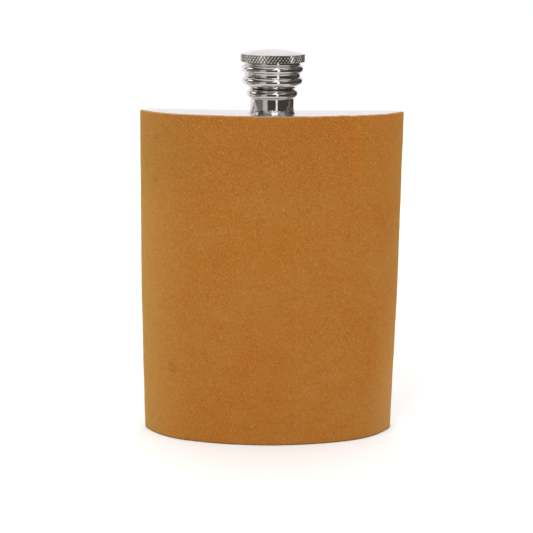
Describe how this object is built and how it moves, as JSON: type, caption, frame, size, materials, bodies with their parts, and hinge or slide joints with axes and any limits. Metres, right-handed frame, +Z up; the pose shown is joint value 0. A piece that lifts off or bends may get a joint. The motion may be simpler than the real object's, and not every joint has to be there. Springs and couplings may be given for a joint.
{
  "type": "hip flask",
  "caption": "Slim pocket flask with a kidney-shaped metal body in a stitched leather sleeve, a round neck and a beaded screw cap with a domed, knurled crown.",
  "frame": {"origin": "on the resting face of the base plate, where the axis of the neck and cap meets it", "axes": "+Z up along the axis of the neck and cap, -Y towards the rounded front, +Y towards the hollow back, +X to the right when looking at the front"},
  "size_m": [0.095, 0.0242, 0.1435],
  "materials": {
    "pewter_body": "plain rolled pewter",
    "pewter_polished": "polished pewter",
    "solder": "bright, uneven solder",
    "tan_leather": "matt natural tan leather with a fine nap",
    "waxed_thread": "waxed linen thread",
    "liner": "smooth, slightly soft",
    "insert": "moulded"
  },
  "bodies": {
    "flask": {"body_wall": "pewter_body", "top_plate": "pewter_polished", "base_plate": "pewter_body", "neck_collar": "pewter_polished", "neck_solder_fillet": "solder", "leather_sleeve": "tan_leather", "sleeve_stitching": "waxed_thread"},
    "liner": {"cap_liner": "liner"},
    "cap": {"cap_skirt": "pewter_polished", "cap_crown": "pewter_polished", "cap_thread_insert": "insert"}
  },
  "joints": [
    {"name": "cap_lift", "type": "slide", "parent": "flask", "child": "liner", "axis": [0, 0, 1], "range_m": [0, 0.008]},
    {"name": "cap_turn", "type": "hinge", "parent": "liner", "child": "cap", "pos_m": [0, 0, 0.13], "axis": [0, 0, 1], "range_deg": [0, 1440]}
  ],
  "couplings": [
    {"joint": "cap_turn", "follows": "cap_lift", "rad_per_m": 3141.6}
  ]
}
